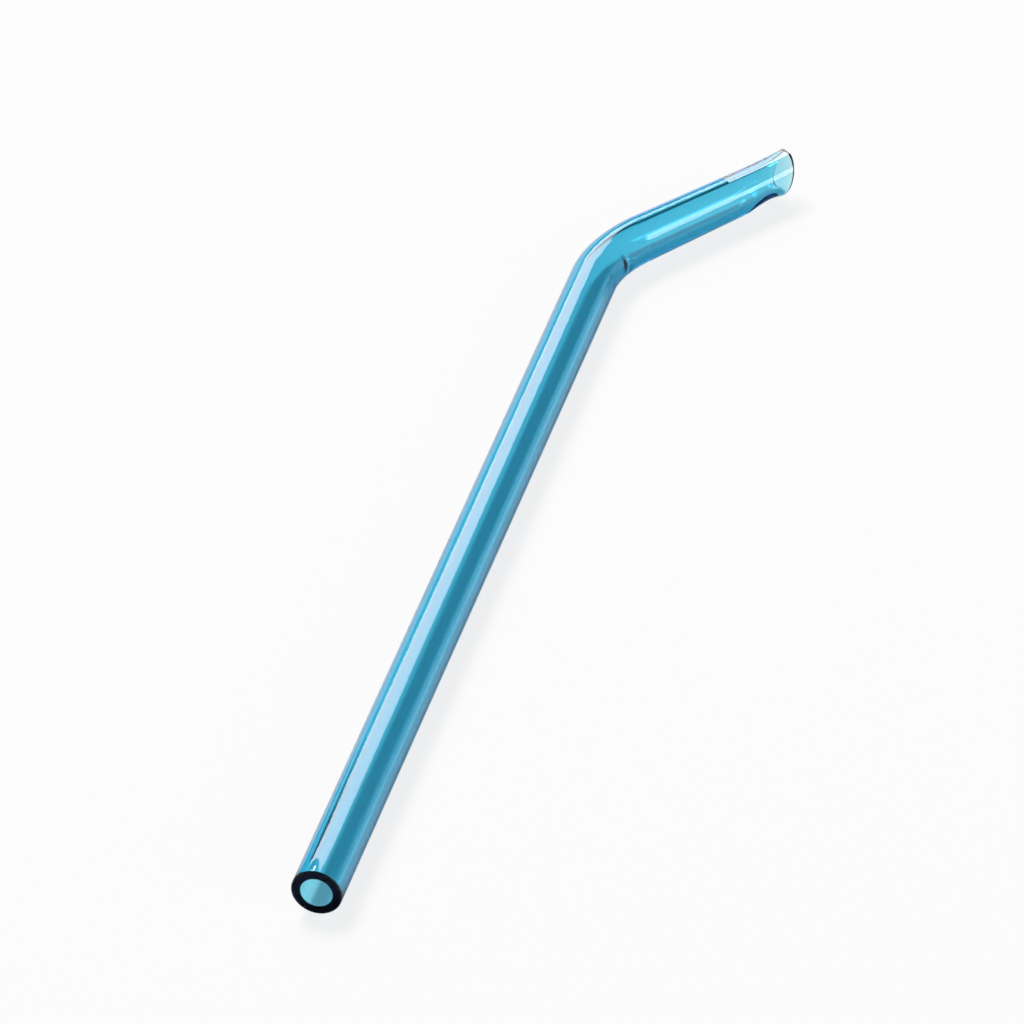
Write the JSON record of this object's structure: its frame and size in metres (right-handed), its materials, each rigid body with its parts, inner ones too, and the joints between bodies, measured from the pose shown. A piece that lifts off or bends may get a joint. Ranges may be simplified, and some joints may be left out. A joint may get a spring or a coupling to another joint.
{
  "type": "saliva ejector tip",
  "caption": "Clear blue dental suction tube with a long straight shank, a bend and a short tapered arm with a slanting mouth.",
  "frame": {"origin": "centre of the cut face at the hose end, on the tube's axis", "axes": "+X along the shank towards the mouth; +Z square to the plane of the bend; the mouth arm turns towards -Y, so the tip lies on its side"},
  "size_m": [0.1662, 0.026, 0.0066],
  "materials": {
    "blue_tube": "smooth, clear, tinted through, as extruded soft plastic tube"
  },
  "bodies": {
    "root": {"hose_end": "blue_tube", "shank": "blue_tube", "bend": "blue_tube", "arm": "blue_tube", "mouth": "blue_tube"}
  },
  "joints": []
}
